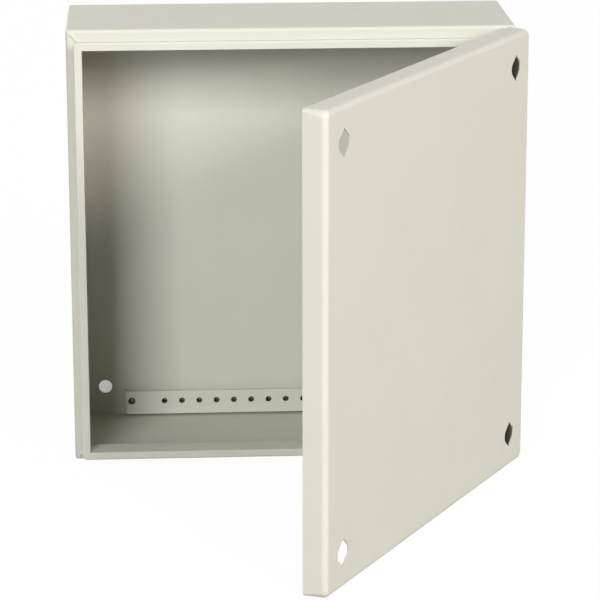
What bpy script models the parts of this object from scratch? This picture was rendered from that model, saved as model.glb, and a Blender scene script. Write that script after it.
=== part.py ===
"""Wall-mounting sheet-steel enclosure with a hinged tray door, modelled with the door standing open.

Metres, +Z up. The origin is the centre of the rear face, which lies on the wall. The front faces -Y,
and the door hangs on the +X side. Every door piece is drawn shut and hangs from a pivot that is turned
open about the hinge axis.
"""

import math

import bmesh
import bpy
from mathutils import Matrix, Vector

# Overall size, with the door shut
WIDTH = 0.300
HEIGHT = 0.300
DEPTH = 0.120

# Folded sheet steel
SHEET = 0.00125
INSIDE_BEND = 0.0010
FIT_GAP = 0.0003
WELD_GAP = 0.0002

# Sealing rim round the opening: a lip that reaches forward and ends in a band folded outwards
LIP_LENGTH = 0.018
BAND_WIDTH = 0.0055

# Holes in the rear panel for the wall screws
WALL_HOLE_DIAMETER = 0.0095
WALL_HOLE_FROM_SIDE = 0.020
WALL_HOLE_FROM_END = 0.022

# Perforated strip low on the rear panel
STRIP_SHEET = 0.0015
STRIP_HEIGHT = 0.017
STRIP_ABOVE_FLOOR = 0.0016
STRIP_STANDOFF = 0.0067
STRIP_SIDE_CLEARANCE = 0.0332
STRIP_BEND = 0.0020
STRIP_PITCH = 0.0125
STRIP_HOLE_DIAMETER = 0.0042
STRIP_PLAIN_END = 0.0275
STRIP_END_HOLE_DIAMETER = 0.0052
STRIP_END_HOLE_INSET = 0.0056
STRIP_ROW_ABOVE_MIDDLE = 0.0012

# Door tray
DOOR_FLANGE = 0.016
DOOR_BEND = 0.0025
DOOR_CORNER_RADIUS = 0.003
LOCK_HOLE_SIDE = 0.013
LOCK_HOLE_ROUNDING = 0.002
LOCK_HOLE_INSET = 0.023
GASKET_THICKNESS = 0.002
GASKET_OVERLAP = 0.0006
GASKET_CORNER_RADIUS = 0.003

# Concealed hinges in the channel behind the band
HINGE_INSET = 0.060
HINGE_HEIGHT = 0.040
HINGE_SHEET = 0.0012
KNUCKLE_RADIUS = 0.00245
KNUCKLE_HEIGHT = 0.011
KNUCKLE_PLAY = 0.0004
HINGE_BEHIND_FACE = 0.012
FLANGE_PAST_AXIS = 0.0015
CHANNEL_PLAY = 0.00175
PIN_DIAMETER = 0.0024
PIN_CLEARANCE = 0.0001
PIN_HEAD_RADIUS = 0.0021
PIN_HEAD_HEIGHT = 0.0012
PIN_TAIL = 0.0015
REST_OPENING = math.radians(59.5)

# Earthing studs inside the body and the door
STUD_DIAMETER = 0.006
STUD_LENGTH = 0.018
STUD_FOOT_RADIUS = 0.0045
STUD_FOOT_HEIGHT = 0.0012
STUD_CLEARANCE = 0.0002
WASHER_RADIUS = 0.006
WASHER_THICKNESS = 0.0016
NUT_FLATS = 0.010
NUT_HEIGHT = 0.005
STUD_FROM_HINGE_SIDE = 0.048
STUD_FROM_BOTTOM = 0.062

BEND_STEPS = 3
CORNER_STEPS = 4
ROUND_SIDES = 24

# Places that follow from the sizes above
LIP_STACK = LIP_LENGTH + FIT_GAP + GASKET_THICKNESS + WELD_GAP + SHEET
FLANGE_Y = LIP_STACK - DEPTH
LIP_Y = FLANGE_Y - LIP_LENGTH
DOOR_Y = -DEPTH
DOOR_INSIDE_Y = DOOR_Y + SHEET
RIM_WIDTH = 2 * SHEET + FIT_GAP + WELD_GAP + HINGE_SHEET + CHANNEL_PLAY + 2 * KNUCKLE_RADIUS
BAND_INSET = RIM_WIDTH - BAND_WIDTH
PANEL_Y = -SHEET
AXIS = Vector((WIDTH / 2 - SHEET - FIT_GAP - KNUCKLE_RADIUS, DOOR_Y + HINGE_BEHIND_FACE, 0))
HINGE_HEIGHTS = {"upper": HEIGHT / 2 - HINGE_INSET, "lower": HINGE_INSET - HEIGHT / 2}
STUD_X = WIDTH / 2 - STUD_FROM_HINGE_SIDE
STUD_Z = STUD_FROM_BOTTOM - HEIGHT / 2


def finish(name, colour, roughness, metallic):
    """A plain surface finish."""
    material = bpy.data.materials.new(name)
    material.use_nodes = True
    shader = material.node_tree.nodes["Principled BSDF"]
    shader.inputs["Base Color"].default_value = (*colour, 1)
    shader.inputs["Roughness"].default_value = roughness
    shader.inputs["Metallic"].default_value = metallic
    return material


def loft(name, loops, ring=False):
    """A closed mesh through loops of equally many points, with end caps, or joined into a ring."""
    mesh = bpy.data.meshes.new(name)
    form = bmesh.new()
    rows = [[form.verts.new(point) for point in loop] for loop in loops]
    following = rows[1:] + rows[:1] if ring else rows[1:]
    for row, other in zip(rows, following):
        for here in range(len(row)):
            there = (here + 1) % len(row)
            form.faces.new((row[here], row[there], other[there], other[here]))
    if not ring:
        form.faces.new(rows[0])
        form.faces.new(rows[-1])
    bmesh.ops.recalc_face_normals(form, faces=form.faces)
    form.to_mesh(mesh)
    form.free()
    return mesh


def prism(name, outline, place, low, high):
    """An outline drawn out between two levels. place turns (a, b, level) into a point."""
    return loft(name, [[place(a, b, level) for a, b in outline] for level in (low, high)])


def upright(a, b, level):
    return Vector((a, b, level))


def facing_front(a, b, level):
    return Vector((a, level, b))


def circle(radius, sides=ROUND_SIDES, centre=(0, 0)):
    turns = [2 * math.pi * side / sides for side in range(sides)]
    return [(centre[0] + radius * math.cos(t), centre[1] + radius * math.sin(t)) for t in turns]


def rectangle(low_a, low_b, high_a, high_b):
    return [(low_a, low_b), (high_a, low_b), (high_a, high_b), (low_a, high_b)]


def rounded_rectangle(half_a, half_b, radius):
    """An outline with its four corners rounded."""
    outline = []
    corners = ((1, 1, 0), (-1, 1, 1), (-1, -1, 2), (1, -1, 3))
    for side_a, side_b, quarter in corners:
        for step in range(CORNER_STEPS + 1):
            turn = math.pi / 2 * (quarter + step / CORNER_STEPS)
            a = side_a * (half_a - radius) + radius * math.cos(turn)
            b = side_b * (half_b - radius) + radius * math.sin(turn)
            outline.append((a, b))
    return outline


def folded_outline(path, thickness, inside_radius):
    """The cross-section of a sheet folded along the path of its middle, with rounded bends."""
    points = [Vector(point) for point in path]
    radius = inside_radius + thickness / 2
    stations = []
    for before, corner, after in zip(points, points[1:], points[2:]):
        along = (corner - before).normalized()
        away = (after - corner).normalized()
        side = 1 if along.cross(away) > 0 else -1
        angle = along.angle(away)
        normal = Vector((-along.y, along.x))
        middle = corner - along * radius * math.tan(angle / 2) + normal * side * radius
        for step in range(BEND_STEPS + 1):
            turned = Matrix.Rotation(side * angle * step / BEND_STEPS, 2) @ normal
            stations.append((middle - turned * side * radius, turned))
    stations.insert(0, (points[0], stations[0][1]))
    stations.append((points[-1], stations[-1][1]))
    near = [point + normal * thickness / 2 for point, normal in stations]
    far = [point - normal * thickness / 2 for point, normal in stations]
    return near + far[::-1]


def turned(name, profile, place, sides=ROUND_SIDES, ring=False):
    """A round piece from (radius, level) pairs."""
    loops = [[place(a, b, level) for a, b in circle(radius, sides)] for radius, level in profile]
    return loft(name, loops, ring)


def add(name, mesh, material=None, parent=None):
    """A named object. A piece that hangs from the pivot is drawn shut and measured from the axis."""
    mesh.name = name
    if parent:
        mesh.transform(Matrix.Translation(-AXIS))
    mesh.shade_smooth()
    mesh.set_sharp_from_angle(angle=math.radians(30))
    piece = bpy.data.objects.new(name, mesh)
    bpy.context.scene.collection.objects.link(piece)
    piece.parent = parent
    if material:
        mesh.materials.append(material)
    return piece


def cut(piece, meshes):
    """Cuts the joined meshes out of a piece."""
    form = bmesh.new()
    for mesh in meshes:
        form.from_mesh(mesh)
        bpy.data.meshes.remove(mesh)
    joined = bpy.data.meshes.new(piece.name)
    form.to_mesh(joined)
    form.free()
    cutter = add("cut_" + piece.name, joined, parent=piece.parent)
    cutter.hide_render = True
    cutter.display_type = "WIRE"
    modifier = piece.modifiers.new("cut", "BOOLEAN")
    modifier.object = cutter


def make_wall(name, length, reach, quarter, paint):
    """One side of the body with its share of the sealing rim, mitred to its neighbours."""
    half = SHEET / 2
    path = (
        (0, half),
        (FLANGE_Y + half, half),
        (FLANGE_Y + half, RIM_WIDTH - half),
        (LIP_Y + half, RIM_WIDTH - half),
        (LIP_Y + half, BAND_INSET),
    )
    profile = folded_outline(path, SHEET, INSIDE_BEND)
    loops = []
    for end in (-1, 1):
        loops.append([(end * (length / 2 - inset - WELD_GAP), y, reach - inset) for y, inset in profile])
    wall = add(name, loft(name, loops), paint)
    wall.rotation_euler.y = quarter * math.pi / 2


def make_rear_panel(paint):
    half_width = WIDTH / 2 - SHEET - FIT_GAP
    half_height = HEIGHT / 2 - SHEET - FIT_GAP
    outline = rectangle(-half_width, -half_height, half_width, half_height)
    panel = add("rear_panel", prism("rear_panel", outline, facing_front, PANEL_Y, 0), paint)
    holes = []
    for side_x in (-1, 1):
        for side_z in (-1, 1):
            centre = (side_x * (WIDTH / 2 - WALL_HOLE_FROM_SIDE), side_z * (HEIGHT / 2 - WALL_HOLE_FROM_END))
            outline = circle(WALL_HOLE_DIAMETER / 2, ROUND_SIDES, centre)
            holes.append(prism("hole", outline, facing_front, 2 * PANEL_Y, SHEET))
    cut(panel, holes)


def make_strip(paint):
    """A bar with both ends folded back to the rear panel and a row of holes."""
    half_length = WIDTH / 2 - STRIP_SIDE_CLEARANCE
    low = SHEET + STRIP_ABOVE_FLOOR - HEIGHT / 2
    foot_y = PANEL_Y - WELD_GAP
    web_y = PANEL_Y - STRIP_STANDOFF + STRIP_SHEET / 2
    end = half_length - STRIP_SHEET / 2
    path = ((-end, foot_y), (-end, web_y), (end, web_y), (end, foot_y))
    outline = folded_outline(path, STRIP_SHEET, STRIP_BEND)
    strip = add("perforated_strip", prism("strip", outline, upright, low, low + STRIP_HEIGHT), paint)
    row = low + STRIP_HEIGHT / 2 + STRIP_ROW_ABOVE_MIDDLE
    copies = math.floor((half_length - STRIP_PLAIN_END) / STRIP_PITCH)
    holes = [(step * STRIP_PITCH, STRIP_HOLE_DIAMETER) for step in range(-copies, copies + 1)]
    for side in (-1, 1):
        holes.append((side * (half_length - STRIP_END_HOLE_INSET), STRIP_END_HOLE_DIAMETER))
    front, back = web_y - STRIP_SHEET, web_y + STRIP_SHEET
    drills = []
    for x, diameter in holes:
        outline = circle(diameter / 2, ROUND_SIDES // 2, (x, row))
        drills.append(prism("hole", outline, facing_front, front, back))
    cut(strip, drills)


def make_hinge_bracket(name, height, zinc):
    """A plate on the lip with a knuckle at each end for the pin."""
    plate = WIDTH / 2 - RIM_WIDTH + SHEET + WELD_GAP
    face = plate + HINGE_SHEET
    front = AXIS.y - KNUCKLE_RADIUS
    last = math.pi + math.asin(1 - HINGE_SHEET / KNUCKLE_RADIUS)
    outline = [(plate, front)]
    for step in range(ROUND_SIDES + 1):
        turn = -math.pi / 2 + (last + math.pi / 2) * step / ROUND_SIDES
        outline.append((AXIS.x + KNUCKLE_RADIUS * math.cos(turn), AXIS.y + KNUCKLE_RADIUS * math.sin(turn)))
    outline += [
        (face, front + HINGE_SHEET),
        (face, AXIS.y + KNUCKLE_RADIUS),
        (plate, AXIS.y + KNUCKLE_RADIUS),
    ]
    low, high = height - HINGE_HEIGHT / 2, height + HINGE_HEIGHT / 2
    bracket = add(name, prism(name, outline, upright, low, high), zinc)
    reach = 2 * KNUCKLE_RADIUS
    between = rectangle(face, AXIS.y - reach, AXIS.x + reach, AXIS.y + reach)
    cut(bracket, [prism("gap", between, upright, low + KNUCKLE_HEIGHT, high - KNUCKLE_HEIGHT)])
    drill_knuckles(bracket, low, high)


def drill_knuckles(piece, low, high):
    """The bore for the hinge pin."""
    outline = circle(PIN_DIAMETER / 2 + PIN_CLEARANCE, ROUND_SIDES, AXIS.xy)
    bore = prism("bore", outline, upright, low - PIN_TAIL, high + PIN_TAIL)
    cutter = add("bore_" + piece.name, bore, parent=piece.parent)
    cutter.hide_render = True
    cutter.display_type = "WIRE"
    modifier = piece.modifiers.new("bore", "BOOLEAN")
    modifier.object = cutter


def make_hinge_leaf(name, height, zinc, pivot):
    """A plate on the inside of the door's edge, rolled into the middle knuckle."""
    inner = AXIS.x + KNUCKLE_RADIUS - HINGE_SHEET
    start = DOOR_INSIDE_Y + DOOR_BEND - SHEET + WELD_GAP
    last = 2 * math.pi - math.acos(1 - HINGE_SHEET / KNUCKLE_RADIUS)
    outline = [(inner, start), (AXIS.x + KNUCKLE_RADIUS, start)]
    for step in range(ROUND_SIDES + 1):
        turn = last * step / ROUND_SIDES
        outline.append((AXIS.x + KNUCKLE_RADIUS * math.cos(turn), AXIS.y + KNUCKLE_RADIUS * math.sin(turn)))
    low, high = height - HINGE_HEIGHT / 2, height + HINGE_HEIGHT / 2
    leaf = add(name, prism(name, outline, upright, low, high), zinc, pivot)
    reach = 2 * KNUCKLE_RADIUS
    relief_y = AXIS.y - KNUCKLE_RADIUS - KNUCKLE_PLAY
    relief = rectangle(AXIS.x - reach, relief_y, AXIS.x + reach, AXIS.y + reach)
    knuckle_low = low + KNUCKLE_HEIGHT + KNUCKLE_PLAY
    knuckle_high = high - KNUCKLE_HEIGHT - KNUCKLE_PLAY
    ends = ((low - PIN_TAIL, knuckle_low), (knuckle_high, high + PIN_TAIL))
    cut(leaf, [prism("relief", relief, upright, *levels) for levels in ends])
    drill_knuckles(leaf, low, high)


def make_hinge_pin(name, height, zinc):
    radius = PIN_DIAMETER / 2
    top = height + HINGE_HEIGHT / 2 + FIT_GAP
    tail = height - HINGE_HEIGHT / 2 - PIN_TAIL
    profile = (
        (radius / 2, tail),
        (radius, tail + radius / 2),
        (radius, top),
        (PIN_HEAD_RADIUS, top),
        (PIN_HEAD_RADIUS, top + PIN_HEAD_HEIGHT),
    )
    pin = turned(name, profile, upright)
    pin.transform(Matrix.Translation((AXIS.x, AXIS.y, 0)))
    add(name, pin, zinc)


def make_door(paint, pivot):
    """A tray with a shorter hinge side and four square lock holes, each standing on its corner."""

    def level(inset, y):
        outline = rounded_rectangle(WIDTH / 2 - inset, HEIGHT / 2 - inset, DOOR_CORNER_RADIUS - inset)
        return [facing_front(a, b, y) for a, b in outline]

    def bend(radius):
        for step in range(BEND_STEPS + 1):
            turn = math.pi / 2 * step / BEND_STEPS
            yield DOOR_BEND - radius * math.sin(turn), DOOR_Y + DOOR_BEND - radius * math.cos(turn)

    edge_y = DOOR_Y + DOOR_FLANGE
    outside = [level(inset, y) for inset, y in bend(DOOR_BEND)]
    inside = [level(inset, y) for inset, y in bend(DOOR_BEND - SHEET)]
    loops = outside + [level(0, edge_y), level(SHEET, edge_y)] + inside[::-1]
    door = add("door_tray", loft("door_tray", loops), paint, pivot)
    holes = []
    square = rounded_rectangle(LOCK_HOLE_SIDE / 2, LOCK_HOLE_SIDE / 2, LOCK_HOLE_ROUNDING)
    slant = math.sqrt(0.5)
    for side_x in (-1, 1):
        for side_z in (-1, 1):
            x = side_x * (WIDTH / 2 - LOCK_HOLE_INSET)
            z = side_z * (HEIGHT / 2 - LOCK_HOLE_INSET)
            outline = [(x + (a - b) * slant, z + (a + b) * slant) for a, b in square]
            holes.append(prism("hole", outline, facing_front, DOOR_Y - SHEET, DOOR_INSIDE_Y + SHEET))
    trim_z = HEIGHT / 2 - 2 * DOOR_CORNER_RADIUS
    trim = rectangle(WIDTH / 2 - 2 * SHEET, -trim_z, WIDTH / 2 + SHEET, trim_z)
    trim_y = AXIS.y + FLANGE_PAST_AXIS
    holes.append(prism("trim", trim, facing_front, trim_y, edge_y + SHEET))
    cut(door, holes)


def make_gasket(foam, pivot):
    """The seal that the band presses into, at its pressed thickness."""
    front = DOOR_INSIDE_Y + WELD_GAP
    back = front + GASKET_THICKNESS
    outer = BAND_INSET - GASKET_OVERLAP
    inner = RIM_WIDTH + GASKET_OVERLAP
    corner = GASKET_CORNER_RADIUS
    loops = []
    for inset, y in ((outer, front), (outer, back), (inner, back), (inner, front)):
        outline = rounded_rectangle(WIDTH / 2 - inset, HEIGHT / 2 - inset, corner)
        loops.append([facing_front(a, b, y) for a, b in outline])
    add("door_gasket", loft("door_gasket", loops, ring=True), foam, pivot)


def make_earthing(owner, seat_y, inward, zinc, brass, pivot=None):
    """A welded stud with its washer and nut, standing on a sheet at seat_y."""

    def place(a, b, level):
        return Vector((STUD_X + a, seat_y + inward * level, STUD_Z + b))

    radius = STUD_DIAMETER / 2
    foot = WELD_GAP + STUD_FOOT_HEIGHT
    tip = WELD_GAP + STUD_LENGTH
    profile = (
        (STUD_FOOT_RADIUS, WELD_GAP),
        (STUD_FOOT_RADIUS, foot),
        (radius, foot),
        (radius, tip - radius / 4),
        (radius * 3 / 4, tip),
    )
    add(owner + "_earth_stud", turned("stud", profile, place), brass, pivot)
    bore = radius + STUD_CLEARANCE
    seat = foot + WELD_GAP
    top = seat + WASHER_THICKNESS
    profile = ((bore, seat), (WASHER_RADIUS, seat), (WASHER_RADIUS, top), (bore, top))
    add(owner + "_earth_washer", turned("washer", profile, place, ring=True), zinc, pivot)
    seat = top + WELD_GAP
    hexagon = circle(NUT_FLATS / 2 / math.cos(math.pi / 6), 6)
    nut = add(owner + "_earth_nut", prism("nut", hexagon, place, seat, seat + NUT_HEIGHT), zinc, pivot)
    cut(nut, [prism("bore", circle(bore), place, seat - radius, seat + NUT_HEIGHT + radius)])


def main():
    for leftover in list(bpy.data.objects):
        bpy.data.objects.remove(leftover, do_unlink=True)

    body_paint = finish("powder coat, body", (0.60, 0.58, 0.51), 0.45, 0.0)
    door_paint = finish("powder coat, door", (0.68, 0.66, 0.57), 0.42, 0.0)
    zinc = finish("zinc-plated steel", (0.62, 0.62, 0.60), 0.35, 1.0)
    brass = finish("copper-plated steel", (0.72, 0.45, 0.27), 0.35, 1.0)
    foam = finish("polyurethane foam", (0.035, 0.035, 0.037), 0.9, 0.0)

    make_wall("top_wall", WIDTH, HEIGHT / 2, 0, body_paint)
    make_wall("right_wall", HEIGHT, WIDTH / 2, 1, body_paint)
    make_wall("bottom_wall", WIDTH, HEIGHT / 2, 2, body_paint)
    make_wall("left_wall", HEIGHT, WIDTH / 2, 3, body_paint)
    make_rear_panel(body_paint)
    make_strip(body_paint)
    make_earthing("body", PANEL_Y, -1, zinc, brass)

    pivot = bpy.data.objects.new("door_pivot", None)
    bpy.context.scene.collection.objects.link(pivot)
    pivot.location = AXIS
    pivot.rotation_euler.z = REST_OPENING
    make_door(door_paint, pivot)
    make_gasket(foam, pivot)
    make_earthing("door", DOOR_INSIDE_Y, 1, zinc, brass, pivot)

    for level, height in HINGE_HEIGHTS.items():
        make_hinge_bracket(level + "_hinge_bracket", height, zinc)
        make_hinge_pin(level + "_hinge_pin", height, zinc)
        make_hinge_leaf(level + "_hinge_leaf", height, zinc, pivot)


main()
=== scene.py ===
"""Wall-mounting steel enclosure with its tray door open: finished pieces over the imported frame."""

import math

import bmesh
import bpy
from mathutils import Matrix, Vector


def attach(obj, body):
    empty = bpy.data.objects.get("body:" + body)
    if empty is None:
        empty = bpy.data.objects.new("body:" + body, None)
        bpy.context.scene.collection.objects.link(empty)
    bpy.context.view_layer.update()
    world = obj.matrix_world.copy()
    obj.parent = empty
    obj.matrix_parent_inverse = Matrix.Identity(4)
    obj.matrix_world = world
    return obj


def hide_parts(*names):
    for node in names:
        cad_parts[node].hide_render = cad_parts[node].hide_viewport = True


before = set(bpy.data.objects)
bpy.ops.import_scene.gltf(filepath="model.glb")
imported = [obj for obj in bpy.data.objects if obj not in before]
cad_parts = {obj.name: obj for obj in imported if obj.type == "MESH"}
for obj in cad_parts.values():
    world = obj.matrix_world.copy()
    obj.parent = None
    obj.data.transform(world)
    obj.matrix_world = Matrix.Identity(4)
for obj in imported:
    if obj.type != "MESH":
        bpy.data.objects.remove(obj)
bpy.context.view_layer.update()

# Sizes in metres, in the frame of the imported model: front is -Y, up is +Z, hinge side is +X.
HALF = 0.150                # half the width and half the height of the body and the door
SHEET = 0.00125             # steel of the body and the door
EDGE = 0.00018              # softened edge of cut sheet
BEND = 0.001                # inside radius of the body's folds
WALL_CORNER = 0.001575      # outer radius where two walls meet
REAR_FRONT = -SHEET         # inner face of the rear sheet
REAR_OVERLAP = 0.0001       # how far the rear sheet runs into the walls
WALL_HOLE_X, WALL_HOLE_Z = 0.130, 0.128   # from the middle
WALL_HOLE = 0.0095          # across a wall-screw hole

# Rim round the opening
FLANGE_Y = -0.09825         # front face of the flange
BAND_Y = -0.11625           # front face of the outer band
RIM = 0.01085               # from the wall's outer face to the lip's inner face
BAND_INSET = 0.00535        # from the wall's outer face to the band's edge
BAND_CORNER = 0.0035        # rounding of the band's corners, as seen from the front
BAND_EDGE = 0.0012          # rounding of the band's outer edge
BAND_TURN = 0.0012          # how far the band's outer edge is turned back
LIP_EDGE = 0.0006           # rounding of the opening's edge
LIP_CORNER = 0.0003         # rounding of the opening's corners

# Weld beads on the flange
WELD_MIDDLE = 0.0062        # from the wall's outer face
WELD_SUNK = 0.0013          # the bead's middle line, below the flange's face
WELD_RADIUS = 0.0019
WELD_LENGTH = 0.0095
WELD_CUTS = 14              # rings along the bead
WELD_END_STEPS = 3          # rings that round each end
WELD_END_IN, WELD_END_OUT = 0.3 * WELD_RADIUS, 0.12 * WELD_RADIUS   # each ring's step
WELD_UNEVEN = 0.08 * WELD_RADIUS   # most that a point of the bead strays

# Perforated strip and its tapped bushes
STRIP_SHEET = 0.0015
STRIP_BEND = 0.002          # inside radius of the folded ends
STRIP_EDGE = 0.00025        # softened edge
STRIP_FRONT = -0.00795
STRIP_LOW, STRIP_HIGH = -0.14715, -0.13015
STRIP_HALF = 0.1168         # half its length
STRIP_ROW = -0.13745        # height of the row of holes
STRIP_PITCH = 0.0125
STRIP_STEPS = range(-7, 8)  # holes of the row, counted from the middle
STRIP_HOLE = 0.0042         # across a hole of the row
STRIP_END_HOLE = 0.0052     # across the hole at each end
STRIP_END_PLACE = 0.1112    # of that hole, from the middle
BUSH_SUNK = 0.0004          # below the strip's face
BUSH_BORE = 0.00150         # radius of the thread's crest
BUSH_THREAD = 0.00045       # depth of the thread
BUSH_PITCH = 0.0008
BUSH_TURNS = 6

# Door
DOOR_Y = -0.120             # front face when shut
DOOR_DEPTH = 0.016
DOOR_BEND = 0.0037          # outer radius of the folds
DOOR_CORNER = 0.0055        # ground round at the face
DOOR_EDGE_CORNER = 0.0020   # running out to this at the free edge
DOOR_CUT_Y = -0.1065        # on the hinge side the fold ends here, clear of the flange
DOOR_CUT_Z = 0.144          # half the length of that cut
LOCK_PLACE = 0.127          # of the four lock holes, from the middle of the door
LOCK_HIGH, LOCK_WIDE = 0.018, 0.015   # six-sided, tips up and down
LOCK_FLAT = 0.005           # upright side of the hole
LOCK_TIP_ROUNDING = 0.0008
LOCK_SIDE_ROUNDING = 0.0015
SEAL_OUTER, SEAL_INNER = 0.00475, 0.01145   # from the door's edge
SEAL_TOP = -0.11655
SEAL_CORNER = 0.003
SEAL_EDGE = 0.0012          # rounding of the top

# Hinges
OPENING = math.radians(59.5)
HINGE_X, HINGE_Y = 0.146, -0.108
HINGE_Z = 0.090             # middle of the upper hinge
HINGE_LONG = 0.040
HINGE_SHEET = 0.0012
KNUCKLE = 0.00245           # radius of a rolled knuckle
KNUCKLE_LONG = 0.011
KNUCKLE_PLAY = 0.0004
PIN = 0.0012                # radius
PIN_PLAY = 0.0001
PIN_HEAD, PIN_HEAD_HIGH = 0.0021, 0.0012   # radius and height
PIN_HEAD_GAP = 0.0003       # under the head
PIN_TAIL = 0.0015           # below the knuckles
WELD_GAP = 0.0002           # between two sheets that are welded together
HINGE_MIDDLE = (HINGE_X, HINGE_Y, HINGE_Z)
HINGE_LOW, HINGE_HIGH = HINGE_Z - HINGE_LONG / 2, HINGE_Z + HINGE_LONG / 2
HINGE_FRONT, HINGE_BACK = HINGE_Y - KNUCKLE, HINGE_Y + KNUCKLE

# Earthing studs
STUD_X, STUD_Z = 0.102, -0.088
STUD_FOOT, STUD_FOOT_HIGH = 0.0045, 0.0012   # radius and height
STUD_FOOT_EDGE, STUD_FOOT_EDGE_HIGH = 0.0004, 0.0002   # its chamfer, inwards and forwards
STUD_SHANK = 0.0006         # plain length below the thread
STUD_TIP_HIGH = 0.0006
THREAD_CREST, THREAD_ROOT = 0.0030, 0.00245   # radii
STUD_TIP = 0.86 * THREAD_ROOT   # radius
THREAD_PITCH = 0.001
THREAD_TURNS = 15
THREAD_FLANK, THREAD_FLAT, THREAD_GROOVE = 0.40 * THREAD_PITCH, 0.12 * THREAD_PITCH, 0.08 * THREAD_PITCH
WASHER_OUTER, WASHER_THICK = 0.006, 0.0016   # radius and thickness
WASHER_PLAY = 0.0002
WASHER_EDGE = 0.0003
WASHER_GAP = 0.0004         # between the stud's foot and the washer
WASHER_BACK = REAR_FRONT - STUD_FOOT_HIGH - WASHER_GAP
NUT_FLATS, NUT_HIGH = 0.010, 0.005   # across the flats, and height
NUT_PLAY = 0.00005
NUT_EDGE = 0.00012
NUT_CHAMFER = 0.0009
NUT_CHAMFER_RADIUS = 0.56 * NUT_FLATS   # of the bar that turns the nut's corners off
NUT_GAP = 0.0002            # between the washer and the nut
NUT_BACK = WASHER_BACK - WASHER_THICK - NUT_GAP

# Floor, lamps and camera
FLOOR_WIDE = 16
FLOOR_GAP = 0.0003          # below the body
FLOOR_WHITE = 0.92          # share of plain white in what is seen of the paper
FLOOR_GLOW = 1.05           # strength of that white
PAINTED_SHADOW_DEPTH = 0.7           # share of the white that the painted shadow behind the body takes
PAINTED_SHADOW_SIDE = (0.137, 0.150)     # that painted shadow fades out sideways between these
PAINTED_SHADOW_BACK = (0.09, 0.26)       # it fades out backwards between these
PAINTED_SHADOW_FRONT = (-0.09, -0.01)    # and it fades in under the body between these
ROOM_LIGHT = 0.04           # strength of the even light from all sides
LAMP_AIM = Vector((0, -0.05, 0))
LAMP_AWAY = 4.4             # from every lamp to its aim
CAMERA_LENS, CAMERA_SENSOR = 168.84, 36.0   # in millimetres
CAMERA_PLACE = (-0.09603, -1.94582, 0.48219)
CAMERA_DOWN, CAMERA_ROLL, CAMERA_TURN = 15.708, 0.077, -3.166   # in degrees

# Cutting tools
PUNCH = 0.01                # length of a tool that goes through one sheet
DRILL = 0.02                # length of a tool that goes through a nut, a washer or a block
PROUD = 0.001               # how far a cutting block stands out of what it cuts

# Selecting
Y, Z = 1, 2                 # axes by their number
CORNERS = ((-1, -1), (-1, 1), (1, -1), (1, 1))   # sides in X and Z
CLOSE = 1e-5                # places nearer than this are the same
DOUBLE = 1e-6               # corners nearer than this are merged
STRAIGHT = 0.99             # least cosine of a face that looks along an axis
SHARP = 1.0                 # least angle in radians between the faces of a sharp edge


# Working by hand

def deselect():
    bpy.ops.object.select_all(action="DESELECT")


def only(piece):
    """Selects this piece alone."""
    deselect()
    piece.select_set(True)
    bpy.context.view_layer.objects.active = piece


def name_it(name):
    piece = bpy.context.object
    piece.name = piece.data.name = name
    return piece


def keep_place():
    """Puts the selected piece's place, turn and scale into its mesh."""
    bpy.ops.object.transform_apply(location=True, rotation=True, scale=True)


def start_block(name, low, high):
    """A block between two corners, alone selected, its place in its mesh."""
    deselect()
    low, high = Vector(low), Vector(high)
    bpy.ops.mesh.primitive_cube_add(size=1, location=(low + high) / 2)
    piece = name_it(name)
    piece.scale = high - low
    keep_place()
    return piece


def start_bar(name, radius, middle, length, sides=64, along=Y):
    """A round bar along an axis, alone selected, its place in its mesh."""
    deselect()
    turn = {Y: (math.pi / 2, 0, 0), Z: (0, 0, 0)}[along]
    bpy.ops.mesh.primitive_cylinder_add(
        vertices=sides, radius=radius, depth=length, location=middle, rotation=turn
    )
    piece = name_it(name)
    keep_place()
    return piece


def copy_of(piece, name):
    """A copy with its own mesh, alone selected."""
    only(piece)
    bpy.ops.object.duplicate(linked=False)
    return name_it(name)


def join(pieces):
    deselect()
    for piece in pieces:
        piece.select_set(True)
    bpy.context.view_layer.objects.active = pieces[0]
    bpy.ops.object.join()
    return pieces[0]


def edit(piece):
    bpy.context.view_layer.objects.active = piece
    bpy.ops.object.mode_set(mode="EDIT")


def leave_edit():
    bpy.ops.object.mode_set(mode="OBJECT")


def pick(piece, kind, wanted):
    """In edit mode, selects just the faces, edges or corners that are wanted."""
    bpy.ops.mesh.select_mode(type=kind)
    bpy.ops.mesh.select_all(action="DESELECT")
    shape = bmesh.from_edit_mesh(piece.data)
    group = {"FACE": shape.faces, "EDGE": shape.edges, "VERT": shape.verts}[kind]
    for item in group:
        if wanted(item):
            item.select_set(True)
    bmesh.update_edit_mesh(piece.data)


def near(a, b):
    return abs(a - b) < CLOSE


def facing(axis, sign):
    return lambda face: face.normal[axis] * sign > STRAIGHT


def lies_at(edge, axis, place):
    return all(near(v.co[axis], place) for v in edge.verts)


def runs_back(edge):
    """The edge leads from front to back."""
    return not near(edge.verts[0].co.y, edge.verts[1].co.y)


def is_sharp(edge):
    return edge.calc_face_angle(0) > SHARP


def reach(corner):
    """How far a mesh corner lies from the Y axis, sideways or upwards, whichever is more."""
    return max(abs(corner.co.x), abs(corner.co.z))


def extrude(*move):
    bpy.ops.mesh.extrude_region_move(TRANSFORM_OT_translate={"value": move})


def widen(scale, middle):
    """Scales what is selected in X and Z about a point."""
    bpy.ops.transform.resize(value=(scale, 1, scale), center_override=middle)


def drop_faces():
    bpy.ops.mesh.delete(type="ONLY_FACE")


def face_outwards():
    bpy.ops.mesh.select_all(action="SELECT")
    bpy.ops.mesh.normals_make_consistent(inside=False)


def weigh_edges(piece, weight, wanted):
    pick(piece, "EDGE", wanted)
    bpy.ops.transform.edge_bevelweight(value=weight)


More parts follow.
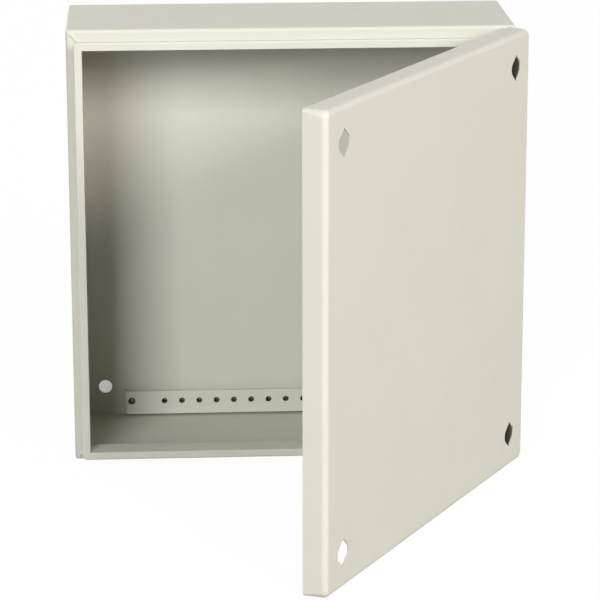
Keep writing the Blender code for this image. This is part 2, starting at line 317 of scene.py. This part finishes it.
def finish_with(piece, kind, **settings):
    """Adds one modifier and applies it."""
    bpy.context.view_layer.objects.active = piece
    modifier = piece.modifiers.new(kind.lower(), kind)
    for setting, value in settings.items():
        setattr(modifier, setting, value)
    bpy.ops.object.modifier_apply(modifier=modifier.name)


def thicken(piece, thickness):
    """Gives a sheet its thickness, inwards from its outer face."""
    finish_with(piece, "SOLIDIFY", thickness=thickness, offset=-1, use_even_offset=True)


def cut_away(piece, tools):
    tool = join(tools) if len(tools) > 1 else tools[0]
    finish_with(piece, "BOOLEAN", object=tool, operation="DIFFERENCE", solver="EXACT", use_self=True)
    bpy.data.objects.remove(tool)


def weld_on(piece, tools):
    for tool in tools:
        finish_with(piece, "BOOLEAN", object=tool, operation="UNION", solver="EXACT")
        bpy.data.objects.remove(tool)


def soften(piece, width=EDGE, segments=2):
    """Rounds every edge that is still sharp."""
    finish_with(
        piece, "BEVEL", limit_method="ANGLE", angle_limit=math.radians(40),
        width=width, segments=segments, use_clamp_overlap=True,
    )


def smooth(piece, angle=30):
    """Shades the piece smooth across edges below this angle, and keeps its flats flat."""
    only(piece)
    bpy.ops.object.shade_smooth_by_angle(angle=math.radians(angle))
    finish_with(piece, "WEIGHTED_NORMAL", keep_sharp=True, weight=80)


def swing_door(piece):
    """Turns a piece drawn on the shut door to the door's opening at rest."""
    only(piece)
    bpy.ops.transform.rotate(
        value=-OPENING, orient_axis="Z", center_override=(HINGE_X, HINGE_Y, 0)
    )
    keep_place()


# Finishes

def linear(hex_colour):
    """An sRGB hex colour as linear RGBA."""
    parts = [int(hex_colour[i:i + 2], 16) / 255 for i in (1, 3, 5)]
    return [c / 12.92 if c <= 0.04045 else ((c + 0.055) / 1.055) ** 2.4 for c in parts] + [1.0]


def node(tree, kind, inputs=None, **settings):
    """Adds a node with its settings, values and links."""
    made = tree.nodes.new(kind)
    for setting, value in settings.items():
        setattr(made, setting, value)
    for socket, value in (inputs or {}).items():
        if isinstance(value, bpy.types.NodeSocket):
            tree.links.new(value, made.inputs[socket])
        else:
            made.inputs[socket].default_value = value
    return made


def new_finish(name):
    finish = bpy.data.materials.new(name)
    finish.use_nodes = True
    finish.node_tree.nodes.clear()
    return finish, finish.node_tree


def powder_coated_steel():
    """Polyester powder baked on sheet steel: satin, warm light grey, with faint orange peel."""
    # Drifts of shade are 60 mm wide, patches of gloss 12 mm and the waves of the peel 2.2 mm.
    drift, patch, wave = 0.060, 0.012, 0.0022
    finish, tree = new_finish("powder_coated_steel")
    place = node(tree, "ShaderNodeTexCoord").outputs["Object"]
    cloud = node(tree, "ShaderNodeTexNoise", {"Vector": place, "Scale": 1 / drift, "Detail": 2.0})
    colour = node(tree, "ShaderNodeValToRGB", {"Fac": cloud.outputs["Fac"]})
    colour.color_ramp.elements[0].position = 0.30
    colour.color_ramp.elements[0].color = linear("#C9C6B9")
    colour.color_ramp.elements[1].position = 0.70
    colour.color_ramp.elements[1].color = linear("#CBC8BC")
    gloss = node(tree, "ShaderNodeTexNoise", {"Vector": place, "Scale": 1 / patch, "Detail": 3.0})
    rough = node(tree, "ShaderNodeMapRange", {
        "Value": gloss.outputs["Fac"], "From Min": 0.3, "From Max": 0.7, "To Min": 0.46, "To Max": 0.54})
    peel = node(tree, "ShaderNodeTexNoise", {"Vector": place, "Scale": 1 / wave, "Detail": 1.0})
    bump = node(tree, "ShaderNodeBump", {
        "Height": peel.outputs["Fac"], "Strength": 0.10, "Distance": 0.0001})
    shader = node(tree, "ShaderNodeBsdfPrincipled", {
        "Base Color": colour.outputs["Color"], "Roughness": rough.outputs["Result"],
        "Normal": bump.outputs["Normal"], "IOR": 1.45})
    node(tree, "ShaderNodeOutputMaterial", {"Surface": shader.outputs["BSDF"]})
    return finish


def filmed_steel(name, colour, worn, roughness):
    """Steel under a thin plated or oxide film: a metal's gloss, clouded by a fine grain."""
    # The real grain is finer than 0.1 mm and is drawn coarser, at 2.5 mm, so that it shows.
    grain = 0.0025
    finish, tree = new_finish(name)
    place = node(tree, "ShaderNodeTexCoord").outputs["Object"]
    cloud = node(tree, "ShaderNodeTexNoise", {"Vector": place, "Scale": 1 / grain, "Detail": 4.0})
    tint = node(tree, "ShaderNodeValToRGB", {"Fac": cloud.outputs["Fac"]})
    tint.color_ramp.elements[0].position = 0.35
    tint.color_ramp.elements[0].color = linear(worn)
    tint.color_ramp.elements[1].position = 0.65
    tint.color_ramp.elements[1].color = linear(colour)
    rough = node(tree, "ShaderNodeMapRange", {
        "Value": cloud.outputs["Fac"], "From Min": 0.3, "From Max": 0.7,
        "To Min": roughness - 0.06, "To Max": roughness + 0.08})
    bump = node(tree, "ShaderNodeBump", {
        "Height": cloud.outputs["Fac"], "Strength": 0.15, "Distance": 0.00005})
    shader = node(tree, "ShaderNodeBsdfPrincipled", {
        "Base Color": tint.outputs["Color"], "Metallic": 1.0, "Roughness": rough.outputs["Result"],
        "Normal": bump.outputs["Normal"]})
    node(tree, "ShaderNodeOutputMaterial", {"Surface": shader.outputs["BSDF"]})
    return finish


def foamed_polyurethane():
    """Polyurethane foamed in place: matt dark grey skin with fine open pores."""
    # The real pores are about 0.3 mm wide and are drawn coarser, at 0.9 mm, so that they show.
    pore = 0.0009
    finish, tree = new_finish("foamed_polyurethane")
    place = node(tree, "ShaderNodeTexCoord").outputs["Object"]
    pores = node(tree, "ShaderNodeTexVoronoi", {"Vector": place, "Scale": 1 / pore})
    shade = node(tree, "ShaderNodeValToRGB", {"Fac": pores.outputs["Distance"]})
    shade.color_ramp.elements[0].position = 0.10
    shade.color_ramp.elements[0].color = linear("#232324")
    shade.color_ramp.elements[1].position = 0.45
    shade.color_ramp.elements[1].color = linear("#3B3B3C")
    bump = node(tree, "ShaderNodeBump", {
        "Height": pores.outputs["Distance"], "Strength": 0.5, "Distance": 0.0002})
    shader = node(tree, "ShaderNodeBsdfPrincipled", {
        "Base Color": shade.outputs["Color"], "Roughness": 0.9, "Normal": bump.outputs["Normal"]})
    node(tree, "ShaderNodeOutputMaterial", {"Surface": shader.outputs["BSDF"]})
    return finish


PAINT = powder_coated_steel()
ZINC = filmed_steel("zinc_plated_steel", "#C9CACB", "#AFB1B3", 0.32)        # bright, cool silver
COPPER = filmed_steel("copper_plated_steel", "#CF9470", "#B47B58", 0.30)    # bright, warm red
HOLE_SHADE_STEEL = filmed_steel("hole_shade_steel", "#55554A", "#44443B", 0.50)       # dull and dark: painted shade that keeps the strip's holes dark
FOAM = foamed_polyurethane()


def paint(piece, finish):
    piece.data.materials.clear()
    piece.data.materials.append(finish)


def hand_over(piece, finish, body, slot, *nodes):
    """Paints a finished piece, rides it on its body and hides the nodes that it stands for."""
    paint(piece, finish)
    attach(piece, body)
    if nodes:
        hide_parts(*nodes)


# Body

def make_corner_tool(x, z):
    """A block with a round hollow, which rounds one corner of the band."""
    edge, start = HALF - BAND_INSET + PROUD, HALF - BAND_INSET - BAND_CORNER
    ends_x, ends_z = sorted((x * start, x * edge)), sorted((z * start, z * edge))
    tool = start_block(
        "corner_tool", (ends_x[0], BAND_Y - PROUD, ends_z[0]), (ends_x[1], BAND_Y + 3 * SHEET, ends_z[1])
    )
    cut_away(tool, [start_bar("hollow_tool", BAND_CORNER, (x * start, BAND_Y, z * start), DRILL)])
    return tool


def make_body_shell():
    """The four walls and the rim, drawn as one folded sheet."""
    lip, turn = HALF - RIM + SHEET, HALF - BAND_INSET - SHEET
    band_back = BAND_Y + SHEET
    shell = start_block("body_shell", (-HALF, FLANGE_Y, -HALF), (HALF, 0, HALF))
    edit(shell)
    pick(shell, "FACE", facing(Y, 1))
    drop_faces()
    pick(shell, "FACE", facing(Y, -1))
    bpy.ops.mesh.inset(thickness=RIM - SHEET)
    extrude(0, band_back - FLANGE_Y, 0)
    extrude(0, 0, 0)
    widen(turn / lip, (0, band_back, 0))
    extrude(0, BAND_TURN, 0)
    drop_faces()
    face_outwards()

    def fold(out):
        return lambda e: lies_at(e, Y, FLANGE_Y) and all(near(reach(v), out) for v in e.verts)

    def wall_corner(out):
        return lambda e: runs_back(e) and all(
            near(abs(v.co.x), out) and near(abs(v.co.z), out) for v in e.verts)

    outer = BEND + SHEET
    weigh_edges(shell, 1.0, fold(HALF))
    weigh_edges(shell, WALL_CORNER / outer, wall_corner(HALF))
    weigh_edges(shell, BEND / outer, fold(lip))
    weigh_edges(shell, (SHEET + LIP_CORNER) / outer, wall_corner(lip))
    leave_edit()
    finish_with(shell, "BEVEL", limit_method="WEIGHT", width=outer, segments=5, use_clamp_overlap=False)
    thicken(shell, SHEET)
    cut_away(shell, [make_corner_tool(x, z) for x, z in CORNERS])
    edit(shell)
    for rounding, outside in ((BAND_EDGE, True), (LIP_EDGE, False)):
        pick(shell, "EDGE", lambda e: is_sharp(e) and lies_at(e, Y, BAND_Y)
             and all((reach(v) > lip) == outside for v in e.verts))
        bpy.ops.mesh.bevel(offset=rounding, segments=5)
    pick(shell, "EDGE", lambda e: is_sharp(e) and lies_at(e, Y, 0)
         and all(reach(v) > HALF - SHEET / 2 for v in e.verts))
    bpy.ops.mesh.bevel(offset=EDGE, segments=2)
    leave_edit()
    smooth(shell)
    hand_over(
        shell, PAINT, "enclosure", "body_paint", "top_wall", "bottom_wall", "left_wall", "right_wall"
    )


def make_rear_sheet():
    """The back of the body, with its four wall-screw holes."""
    out = HALF - SHEET + REAR_OVERLAP
    sheet = start_block("rear_sheet", (-out, REAR_FRONT, -out), (out, 0, out))
    cut_away(sheet, [
        start_bar("hole_tool", WALL_HOLE / 2, (x * WALL_HOLE_X, 0, z * WALL_HOLE_Z), PUNCH)
        for x, z in CORNERS
    ])
    soften(sheet)
    smooth(sheet)
    hand_over(sheet, PAINT, "enclosure", "body_paint", "rear_panel")


def make_strip():
    """The perforated bar low on the rear sheet, its ends folded back."""
    strip = start_block(
        "mounting_strip", (-STRIP_HALF, STRIP_FRONT, STRIP_LOW), (STRIP_HALF, REAR_FRONT, STRIP_HIGH)
    )
    edit(strip)
    pick(strip, "FACE", lambda f: f.normal.y > STRAIGHT or abs(f.normal.z) > STRAIGHT)
    drop_faces()
    weigh_edges(strip, 1.0, lambda e: lies_at(e, Y, STRIP_FRONT) and near(e.verts[0].co.x, e.verts[1].co.x))
    leave_edit()
    finish_with(strip, "BEVEL", limit_method="WEIGHT", width=STRIP_BEND + STRIP_SHEET, segments=8)
    thicken(strip, STRIP_SHEET)
    holes = [(step * STRIP_PITCH, STRIP_HOLE / 2) for step in STRIP_STEPS]
    holes += [(side * STRIP_END_PLACE, STRIP_END_HOLE / 2) for side in (-1, 1)]
    cut_away(strip, [
        start_bar("hole_tool", radius, (x, STRIP_FRONT, STRIP_ROW), PUNCH, sides=32) for x, radius in holes
    ])
    soften(strip, STRIP_EDGE)
    smooth(strip)
    hand_over(strip, PAINT, "enclosure", "body_paint", "perforated_strip")


def make_strip_bushes():
    """Tapped bushes in the strip's holes, their dark steel a painted shade; one is modelled and copied
    along the row.
    """
    front, radius = STRIP_FRONT + BUSH_SUNK, STRIP_HOLE / 2
    length = BUSH_PITCH * BUSH_TURNS
    middle = (0, 0, STRIP_ROW)
    bush = start_bar("strip_bushes", radius, (0, front + length / 2, STRIP_ROW), length, sides=32)
    edit(bush)
    pick(bush, "FACE", facing(Y, 1))
    bpy.ops.mesh.inset(thickness=radius - BUSH_BORE)
    drop_faces()
    pick(bush, "FACE", facing(Y, -1))
    bpy.ops.mesh.inset(thickness=radius - BUSH_BORE)
    wider = (BUSH_BORE + BUSH_THREAD) / BUSH_BORE
    for turn in range(BUSH_TURNS):
        for scale in (wider, 1 / wider):
            extrude(0, BUSH_PITCH / 2, 0)
            widen(scale, middle)
    drop_faces()
    bpy.ops.mesh.select_all(action="SELECT")
    bpy.ops.mesh.remove_doubles(threshold=DOUBLE)
    face_outwards()
    leave_edit()
    smooth(bush, angle=35)
    row = [bush]
    for step in STRIP_STEPS:
        if step != 0:
            row.append(copy_of(bush, "bush_copy"))
            bpy.ops.transform.translate(value=(step * STRIP_PITCH, 0, 0))
            keep_place()
    for side in (-1, 1):
        row.append(copy_of(bush, "bush_copy"))
        widen(STRIP_END_HOLE / STRIP_HOLE, middle)
        bpy.ops.transform.translate(value=(side * STRIP_END_PLACE, 0, 0))
        keep_place()
    # The dark steel paints the shade inside the strip's holes.
    hand_over(join(row), HOLE_SHADE_STEEL, "enclosure", "zinc")


def make_corner_welds():
    """A short, uneven bead on the flange at each corner, where two walls meet."""
    middle = HALF - WELD_MIDDLE
    beads = []
    for x, z in ((-1, 1), (1, 1), (1, -1), (-1, -1)):
        deselect()
        bpy.ops.mesh.primitive_cylinder_add(
            vertices=20, radius=WELD_RADIUS, depth=WELD_LENGTH,
            location=(x * middle, FLANGE_Y + WELD_SUNK, z * middle), rotation=(0, x * z * math.pi / 4, 0),
        )
        bead = name_it("corner_weld")
        edit(bead)
        pick(bead, "FACE", lambda f: len(f.verts) > 4)
        for ring in range(WELD_END_STEPS):
            bpy.ops.mesh.inset(thickness=WELD_END_IN, depth=WELD_END_OUT, use_individual=True)
        pick(bead, "EDGE", lambda e: e.calc_length() > WELD_LENGTH / 2)
        bpy.ops.mesh.subdivide(number_cuts=WELD_CUTS)
        bpy.ops.mesh.select_all(action="SELECT")
        bpy.ops.transform.vertex_random(offset=WELD_UNEVEN, seed=len(beads) + 1)
        leave_edit()
        keep_place()
        beads.append(bead)
    join(beads)
    welds = name_it("rim_corner_welds")
    finish_with(welds, "SUBSURF", levels=1, render_levels=1)
    smooth(welds, angle=60)
    hand_over(welds, PAINT, "enclosure", "body_paint")


# Door

def make_lock_tool(x, z):
    """A six-sided bar with rounded edges, tips up and down, that punches one lock hole."""
    middle = (x, DOOR_Y, z)
    tool = start_bar("lock_tool", LOCK_HIGH / 2, middle, PUNCH, sides=6)
    flat = LOCK_HIGH / 2
    half_wide = flat * math.cos(math.pi / 6)

    def along_bar(out):
        return lambda e: runs_back(e) and near(abs(e.verts[0].co.x - x), out)

    edit(tool)
    pick(tool, "EDGE", along_bar(half_wide))
    bpy.ops.transform.resize(value=(LOCK_WIDE / 2 / half_wide, 1, LOCK_FLAT / flat), center_override=middle)
    for rounding, out in ((LOCK_TIP_ROUNDING, 0), (LOCK_SIDE_ROUNDING, LOCK_WIDE / 2)):
        pick(tool, "EDGE", along_bar(out))
        bpy.ops.mesh.bevel(offset=rounding, segments=6)
    leave_edit()
    return tool


def make_door_skin():
    """A sheet folded back on four sides, with ground corners and a lock hole near each corner."""
    free_edge = DOOR_Y + DOOR_DEPTH
    door = start_block("door_skin", (-HALF, DOOR_Y, -HALF), (HALF, free_edge, HALF))
    edit(door)
    pick(door, "FACE", facing(Y, 1))
    drop_faces()
    pick(door, "EDGE", runs_back)
    bpy.ops.mesh.bevel(offset=DOOR_CORNER, segments=10)
    start = HALF - DOOR_CORNER - EDGE
    for x, z in CORNERS:
        pick(door, "VERT", lambda v: near(v.co.y, free_edge) and min(x * v.co.x, z * v.co.z) > start)
        widen(DOOR_EDGE_CORNER / DOOR_CORNER, (x * HALF, free_edge, z * HALF))
    weigh_edges(door, 1.0, lambda e: lies_at(e, Y, DOOR_Y))
    leave_edit()
    finish_with(door, "BEVEL", limit_method="WEIGHT", width=DOOR_BEND, segments=8, use_clamp_overlap=False)
    thicken(door, SHEET)
    tools = [make_lock_tool(x * LOCK_PLACE, z * LOCK_PLACE) for x, z in CORNERS]
    tools.append(start_block(
        "hinge_tool", (HALF - SHEET - PROUD, DOOR_CUT_Y, -DOOR_CUT_Z),
        (HALF + PROUD, free_edge + PROUD, DOOR_CUT_Z),
    ))
    cut_away(door, tools)
    soften(door)
    smooth(door)
    swing_door(door)
    hand_over(door, PAINT, "door", "door_paint", "door_tray")


def make_seal():
    """A foamed bead that runs round the inside of the door, under the rim's band."""
    outer, inner = HALF - SEAL_OUTER, HALF - SEAL_INNER
    seal = start_block("door_seal", (-outer, DOOR_Y + SHEET, -outer), (outer, SEAL_TOP, outer))
    edit(seal)
    pick(seal, "FACE", lambda f: abs(f.normal.y) > STRAIGHT)
    bpy.ops.mesh.inset(thickness=outer - inner, use_individual=True)
    drop_faces()
    pick(seal, "EDGE", lambda e: not runs_back(e) and all(near(reach(v), inner) for v in e.verts))
    bpy.ops.mesh.bridge_edge_loops()
    weigh_edges(seal, 1.0, runs_back)
    weigh_edges(seal, SEAL_EDGE / SEAL_CORNER, lambda e: is_sharp(e) and lies_at(e, Y, SEAL_TOP))
    face_outwards()
    leave_edit()
    finish_with(seal, "BEVEL", limit_method="WEIGHT", width=SEAL_CORNER, segments=6)
    smooth(seal)
    swing_door(seal)
    hand_over(seal, FOAM, "door", "foam", "door_gasket")


# Earthing

def make_earth_stud():
    """A weld stud: a round foot, rings of thread and a narrower tip."""
    middle = (STUD_X, REAR_FRONT - STUD_FOOT_HIGH / 2, STUD_Z)
    stud = start_bar("body_earth_bolt", STUD_FOOT, middle, STUD_FOOT_HIGH, sides=40)
    outline = [
        (STUD_FOOT_EDGE_HIGH, STUD_FOOT - STUD_FOOT_EDGE), (0, THREAD_ROOT), (STUD_SHANK, THREAD_ROOT)
    ]
    for turn in range(THREAD_TURNS):
        outline += [(THREAD_FLANK, THREAD_CREST), (THREAD_FLAT, THREAD_CREST)]
        outline += [(THREAD_FLANK, THREAD_ROOT), (THREAD_GROOVE, THREAD_ROOT)]
    outline.append((STUD_TIP_HIGH, STUD_TIP))
    edit(stud)
    pick(stud, "FACE", facing(Y, -1))
    radius = STUD_FOOT
    for forward, wanted in outline:
        extrude(0, -forward, 0)
        widen(wanted / radius, (STUD_X, 0, STUD_Z))
        radius = wanted
    leave_edit()
    smooth(stud, angle=35)
    return stud


def make_earth_washer():
    middle = (STUD_X, WASHER_BACK - WASHER_THICK / 2, STUD_Z)
    washer = start_bar("body_earth_lock_washer", WASHER_OUTER, middle, WASHER_THICK)
    cut_away(washer, [start_bar("bore_tool", THREAD_CREST + WASHER_PLAY, middle, DRILL, sides=48)])
    soften(washer, WASHER_EDGE, segments=3)
    smooth(washer)
    return washer


def make_earth_nut():
    middle = (STUD_X, NUT_BACK - NUT_HIGH / 2, STUD_Z)
    nut = start_bar("body_earth_hex_nut", NUT_FLATS / math.sqrt(3), middle, NUT_HIGH, sides=6)
    chamfer = start_bar("chamfer_tool", NUT_CHAMFER_RADIUS, middle, NUT_HIGH)
    edit(chamfer)
    pick(chamfer, "EDGE", lambda e: not runs_back(e))
    bpy.ops.mesh.bevel(offset=NUT_CHAMFER, offset_type="OFFSET", segments=1)
    leave_edit()
    finish_with(nut, "BOOLEAN", object=chamfer, operation="INTERSECT", solver="EXACT")
    bpy.data.objects.remove(chamfer)
    cut_away(nut, [start_bar("bore_tool", THREAD_CREST + NUT_PLAY, middle, DRILL, sides=48)])
    soften(nut, NUT_EDGE)
    smooth(nut)
    return nut


def make_earthing():
    """A stud with its washer and nut on the rear sheet, and their copies on the door."""
    for piece, finish, slot, kind in (
        (make_earth_stud(), COPPER, "plated_stud", "stud"),
        (make_earth_washer(), ZINC, "zinc", "washer"),
        (make_earth_nut(), ZINC, "zinc", "nut"),
    ):
        twin = copy_of(piece, piece.name.replace("body", "door"))
        bpy.ops.transform.rotate(
            value=math.pi, orient_axis="Z", center_override=(STUD_X, REAR_FRONT, STUD_Z)
        )
        bpy.ops.transform.translate(value=(0, DOOR_Y + SHEET - REAR_FRONT, 0))
        keep_place()
        swing_door(twin)
        hand_over(piece, finish, "enclosure", slot, "body_earth_" + kind)
        hand_over(twin, finish, "door", slot, "door_earth_" + kind)


# Hinges, in the channel behind the band

def make_knuckle_roll():
    return start_bar("roll_tool", KNUCKLE, HINGE_MIDDLE, HINGE_LONG, sides=48, along=Z)


def make_pin_bore():
    return start_bar("bore_tool", PIN + PIN_PLAY, HINGE_MIDDLE, 2 * HINGE_LONG, sides=32, along=Z)


def make_hinge_holder():
    """A plate on the rim's lip that ends in the two outer knuckles."""
    start = HALF - RIM + SHEET + WELD_GAP
    end = start + HINGE_SHEET
    holder = start_block(
        "upper_hinge_holder", (start, HINGE_FRONT, HINGE_LOW), (end, HINGE_BACK, HINGE_HIGH)
    )
    neck = start_block(
        "neck_tool", (start, HINGE_FRONT, HINGE_LOW), (HINGE_X, HINGE_FRONT + HINGE_SHEET, HINGE_HIGH)
    )
    weld_on(holder, [neck, make_knuckle_roll()])
    gap = start_block(
        "gap_tool", (end, HINGE_FRONT - KNUCKLE, HINGE_LOW + KNUCKLE_LONG),
        (HINGE_X + 2 * KNUCKLE, HINGE_BACK + KNUCKLE, HINGE_HIGH - KNUCKLE_LONG),
    )
    cut_away(holder, [gap, make_pin_bore()])
    return holder


def make_hinge_strap():
    """A plate on the door's fold that ends in the middle knuckle."""
    strap = start_block(
        "upper_hinge_strap", (HINGE_X + KNUCKLE - HINGE_SHEET, DOOR_Y + DOOR_BEND + WELD_GAP, HINGE_LOW),
        (HINGE_X + KNUCKLE, HINGE_Y, HINGE_HIGH),
    )
    weld_on(strap, [make_knuckle_roll()])
    relief = [
        start_block(
            "relief_tool", (HINGE_X - 2 * KNUCKLE, HINGE_FRONT - KNUCKLE_PLAY, low),
            (HINGE_X + 2 * KNUCKLE, HINGE_BACK + KNUCKLE, high),
        )
        for low, high in (
            (HINGE_LOW - KNUCKLE, HINGE_LOW + KNUCKLE_LONG + KNUCKLE_PLAY),
            (HINGE_HIGH - KNUCKLE_LONG - KNUCKLE_PLAY, HINGE_HIGH + KNUCKLE),
        )
    ]
    cut_away(strap, relief + [make_pin_bore()])
    return strap


def make_hinge_pin():
    """A headed pin through the three knuckles."""
    top, tail = HINGE_HIGH + PIN_HEAD_GAP, HINGE_LOW - PIN_TAIL
    middle = (HINGE_X, HINGE_Y, (top + tail) / 2)
    pin = start_bar("upper_hinge_rod", PIN, middle, top - tail, sides=48, along=Z)
    wider = PIN_HEAD / PIN
    edit(pin)
    pick(pin, "FACE", facing(Z, 1))
    extrude(0, 0, 0)
    bpy.ops.transform.resize(value=(wider, wider, 1), center_override=(HINGE_X, HINGE_Y, top))
    extrude(0, 0, PIN_HEAD_HIGH)
    pick(pin, "EDGE", lambda e: lies_at(e, Z, tail) or lies_at(e, Z, top + PIN_HEAD_HIGH))
    bpy.ops.mesh.bevel(offset=PIN / 2, segments=4)
    leave_edit()
    return pin


def make_hinges():
    """The upper hinge, and the lower one as its copy."""
    holder, strap, pin = make_hinge_holder(), make_hinge_strap(), make_hinge_pin()
    soften(holder)
    soften(strap)
    for piece, body, kind in (
        (holder, "enclosure", "bracket"), (strap, "door", "leaf"), (pin, "enclosure", "pin")
    ):
        smooth(piece)
        twin = copy_of(piece, piece.name.replace("upper", "lower"))
        bpy.ops.transform.translate(value=(0, 0, -2 * HINGE_Z))
        keep_place()
        for made, level in ((piece, "upper"), (twin, "lower")):
            if body == "door":
                swing_door(made)
            hand_over(made, ZINC, body, "zinc", level + "_hinge_" + kind)


make_body_shell()
make_rear_sheet()
make_strip()
make_strip_bushes()
make_corner_welds()
make_door_skin()
make_seal()
make_earthing()
make_hinges()


# Studio

def seen_directly(tree):
    """A socket that is 1 for rays from the camera, off a gloss or through a clear piece, else 0."""
    ray = node(tree, "ShaderNodeLightPath").outputs
    seen = node(tree, "ShaderNodeMath", {
        0: ray["Is Camera Ray"], 1: ray["Is Glossy Ray"]}, operation="MAXIMUM")
    seen = node(tree, "ShaderNodeMath", {
        0: seen.outputs[0], 1: ray["Is Transmission Ray"]}, operation="MAXIMUM")
    return seen.outputs[0]


def uncoated_paper():
    """Uncoated grey paper: matt. Seen directly it is mostly plain white, with the shadow kept."""
    finish, tree = new_finish("uncoated_grey_paper")
    place = node(tree, "ShaderNodeSeparateXYZ", {
        "Vector": node(tree, "ShaderNodeTexCoord").outputs["Object"]}).outputs
    # Painted shadow behind the body: less white there, so the paper's shading shows through the wall-screw
    # holes.
    across = node(tree, "ShaderNodeMath", {0: place["X"]}, operation="ABSOLUTE")
    across = node(tree, "ShaderNodeMapRange", {
        "Value": across.outputs[0], "From Min": PAINTED_SHADOW_SIDE[0], "From Max": PAINTED_SHADOW_SIDE[1],
        "To Min": 1.0, "To Max": 0.0}, interpolation_type="SMOOTHSTEP")
    back = node(tree, "ShaderNodeMapRange", {
        "Value": place["Y"], "From Min": PAINTED_SHADOW_BACK[0], "From Max": PAINTED_SHADOW_BACK[1],
        "To Min": PAINTED_SHADOW_DEPTH, "To Max": 0.0}, interpolation_type="SMOOTHSTEP")
    under = node(tree, "ShaderNodeMapRange", {
        "Value": place["Y"], "From Min": PAINTED_SHADOW_FRONT[0], "From Max": PAINTED_SHADOW_FRONT[1]},
        interpolation_type="SMOOTHSTEP")
    shade = node(tree, "ShaderNodeMath", {
        0: across.outputs["Result"], 1: back.outputs["Result"]}, operation="MULTIPLY")
    shade = node(tree, "ShaderNodeMath", {
        0: shade.outputs[0], 1: under.outputs["Result"]}, operation="MULTIPLY")
    # The white that the painted shadow leaves.
    lit = node(tree, "ShaderNodeMath", {0: FLOOR_WHITE, 1: shade.outputs[0]}, operation="SUBTRACT")
    share = node(tree, "ShaderNodeMath", {
        0: seen_directly(tree), 1: lit.outputs[0]}, operation="MULTIPLY")
    paper = node(tree, "ShaderNodeBsdfDiffuse", {"Color": linear("#A6A6A4")})
    white = node(tree, "ShaderNodeEmission", {"Color": linear("#FFFFFF"), "Strength": FLOOR_GLOW})
    mixed = node(tree, "ShaderNodeMixShader", {
        "Fac": share.outputs[0], 1: paper.outputs[0], 2: white.outputs[0]})
    node(tree, "ShaderNodeOutputMaterial", {"Surface": mixed.outputs[0]})
    return finish


def make_floor():
    deselect()
    bpy.ops.mesh.primitive_plane_add(size=FLOOR_WIDE, location=(0, 0, -HALF - FLOOR_GAP))
    floor = name_it("studio_floor")
    paint(floor, uncoated_paper())


def make_world():
    """A dim even room for the part, with plain white wherever it is seen directly."""
    world = bpy.data.worlds.new("studio")
    bpy.context.scene.world = world
    world.use_nodes = True
    tree = world.node_tree
    tree.nodes.clear()
    room = node(tree, "ShaderNodeBackground", {"Color": linear("#FFFFFF"), "Strength": ROOM_LIGHT})
    white = node(tree, "ShaderNodeBackground", {"Color": linear("#FFFFFF"), "Strength": 1.0})
    mixed = node(tree, "ShaderNodeMixShader", {
        "Fac": seen_directly(tree), 1: room.outputs[0], 2: white.outputs[0]})
    node(tree, "ShaderNodeOutputWorld", {"Surface": mixed.outputs[0]})


def make_softbox(name, around, above, wide, power, tint="#FFFFFF"):
    """A square lamp, placed by its angles in degrees: around from the front, and up from level."""
    around, above = math.radians(around), math.radians(above)
    away = LAMP_AWAY * Vector((
        math.sin(around) * math.cos(above), -math.cos(around) * math.cos(above), math.sin(above)))
    lamp = bpy.data.lights.new(name, "AREA")
    lamp.shape = "SQUARE"
    lamp.size = wide
    lamp.energy = power
    lamp.color = linear(tint)[:3]
    stand = bpy.data.objects.new(name, lamp)
    bpy.context.collection.objects.link(stand)
    stand.location = LAMP_AIM + away
    stand.rotation_euler = (-away).to_track_quat("-Z", "Y").to_euler()


def make_camera():
    """The camera at the photograph's viewing angle."""
    camera = bpy.data.cameras.new("camera")
    camera.lens = CAMERA_LENS
    camera.sensor_width = CAMERA_SENSOR
    viewer = bpy.data.objects.new("camera", camera)
    bpy.context.collection.objects.link(viewer)
    viewer.location = CAMERA_PLACE
    viewer.rotation_euler = (
        math.radians(90 - CAMERA_DOWN), math.radians(CAMERA_ROLL), math.radians(CAMERA_TURN)
    )
    bpy.context.scene.camera = viewer


make_floor()
make_world()
make_softbox("left_softbox", -20, 20, 1.60, 149.5, "#FAFEFF")
make_softbox("right_softbox", 32, 21, 1.10, 111.0, "#FFFEFB")
make_softbox("side_softbox", 75, 10, 1.80, 53.0, "#FFFEFB")
make_softbox("top_softbox", 0, 90, 1.80, 42.0)
make_softbox("rear_softbox", -140, 25, 1.80, 77.0)
make_camera()
bpy.context.scene.view_settings.view_transform = "Standard"
